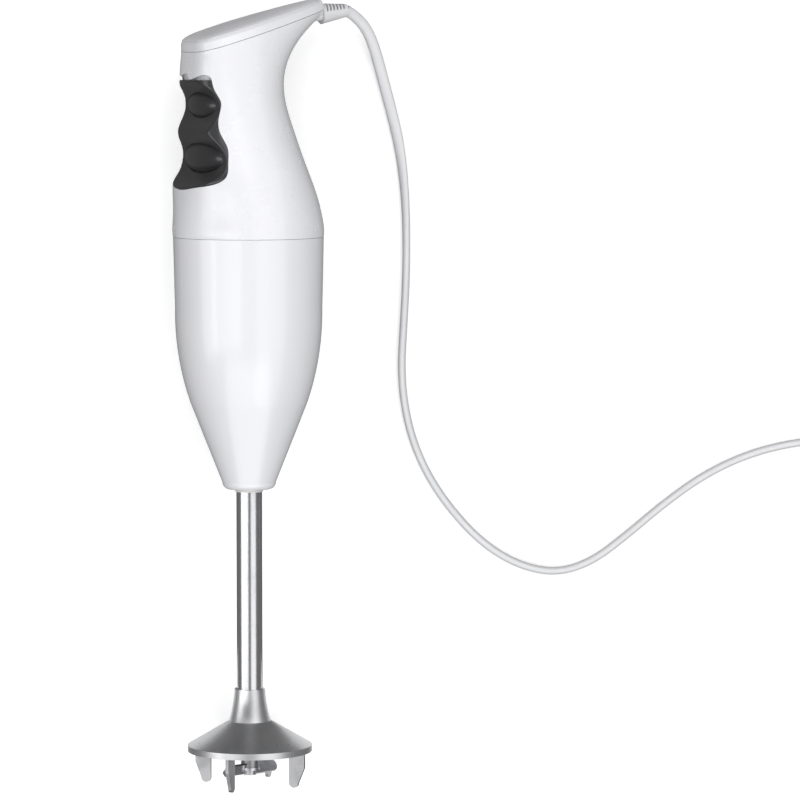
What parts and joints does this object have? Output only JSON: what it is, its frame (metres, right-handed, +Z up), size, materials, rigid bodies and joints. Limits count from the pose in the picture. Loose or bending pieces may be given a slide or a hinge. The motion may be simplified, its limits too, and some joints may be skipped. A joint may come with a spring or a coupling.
{
  "type": "immersion blender",
  "caption": "Hand-held immersion blender lying on its side: round motor housing, two-button handle, steel tube, pronged bell guard with blade, and a flat mains lead.",
  "frame": {"origin": "centre of the tool's footprint on the surface it lies on, without its lead", "axes": "+Y along the shaft from the guard to the cord end, +Z up from the surface, +X towards the side where the lead lies"},
  "size_m": [0.3496, 0.345, 0.066],
  "materials": {
    "housing_white": "glossy moulded",
    "handle_white": "satin moulded",
    "cover_white": "glossy bevel with a fine grained top",
    "soft_grey": "soft-touch overmould",
    "steel_polished": "polished stainless steel",
    "steel_satin": "satin stainless steel",
    "steel_plain": "turned steel",
    "steel_laminated": "stacked laminations",
    "copper": "enamelled winding wire",
    "bronze": "sintered bronze",
    "carbon": "pressed carbon",
    "board_green": "circuit board",
    "nylon_black": "moulded nylon",
    "nylon_white": "moulded nylon",
    "seal_rubber": "lip seal rubber",
    "cord_white": "flexible white sheath",
    "plug_white": "moulded plug",
    "pin_nickel": "nickel plated brass"
  },
  "bodies": {
    "casing": {"bell_guard": "steel_polished", "board_screws": "steel_plain", "brush_holders": "bronze", "brush_springs": "steel_plain", "carbon_brushes": "carbon", "clamp_screws": "steel_plain", "cord": "cord_white", "cord_clamp": "nylon_white", "cord_coil": "cord_white", "cord_tail": "cord_white", "cord_tie": "nylon_black", "field_coils": "copper", "guard_prongs": "steel_polished", "handle_shell": "handle_white", "inner_lead": "cord_white", "lower_button_spring": "steel_plain", "lower_motor_bracket": "nylon_black", "lower_motor_bush": "bronze", "lower_shaft_bush": "bronze", "lower_switch": "nylon_black", "motor_bolts": "steel_plain", "motor_housing": "housing_white", "motor_mount_ring": "seal_rubber", "noise_capacitor": "nylon_white", "plug_body": "plug_white", "plug_pins": "pin_nickel", "shaft_seal": "seal_rubber", "shaft_tube": "steel_polished", "speed_diode": "nylon_black", "stator_core": "steel_laminated", "strain_relief": "cord_white", "switch_board": "board_green", "switch_pad": "soft_grey", "top_cover": "cover_white", "tube_collar": "nylon_white", "upper_button_spring": "steel_plain", "upper_motor_bracket": "nylon_black", "upper_motor_bush": "bronze", "upper_shaft_bush": "bronze", "upper_switch": "nylon_black"},
    "rotor": {"drive_shaft": "steel_plain", "drive_pin": "steel_plain", "coupling_sleeve": "nylon_black", "motor_shaft": "steel_plain", "cooling_fan": "nylon_black", "armature_core": "steel_laminated", "armature_windings": "copper", "commutator": "copper"},
    "blade_tool": {"blade_hub": "nylon_white", "blade_wings": "steel_satin", "blade_rivet": "steel_plain"},
    "upper_key": {"upper_button": "soft_grey"},
    "lower_key": {"lower_button": "soft_grey"}
  },
  "joints": [
    {"name": "drive_spin", "type": "hinge", "parent": "casing", "child": "rotor", "pos_m": [-0.00527, -0.07207, 0.0295], "axis": [0, 0.9997, 0.0244], "continuous": true},
    {"name": "blade_pull_off", "type": "slide", "parent": "rotor", "child": "blade_tool", "axis": [0, -0.9997, -0.0244], "range_m": [0, 0.018]},
    {"name": "upper_button_press", "type": "slide", "parent": "casing", "child": "upper_key", "axis": [0.8988, 0.0107, -0.4382], "range_m": [0, 0.0012], "stiffness_N_per_m": 900, "springref_m": -0.0012, "deforming": ["upper_button_spring"]},
    {"name": "lower_button_press", "type": "slide", "parent": "casing", "child": "lower_key", "axis": [0.8988, 0.0107, -0.4382], "range_m": [0, 0.0012], "stiffness_N_per_m": 900, "springref_m": -0.0012, "deforming": ["lower_button_spring"]}
  ]
}
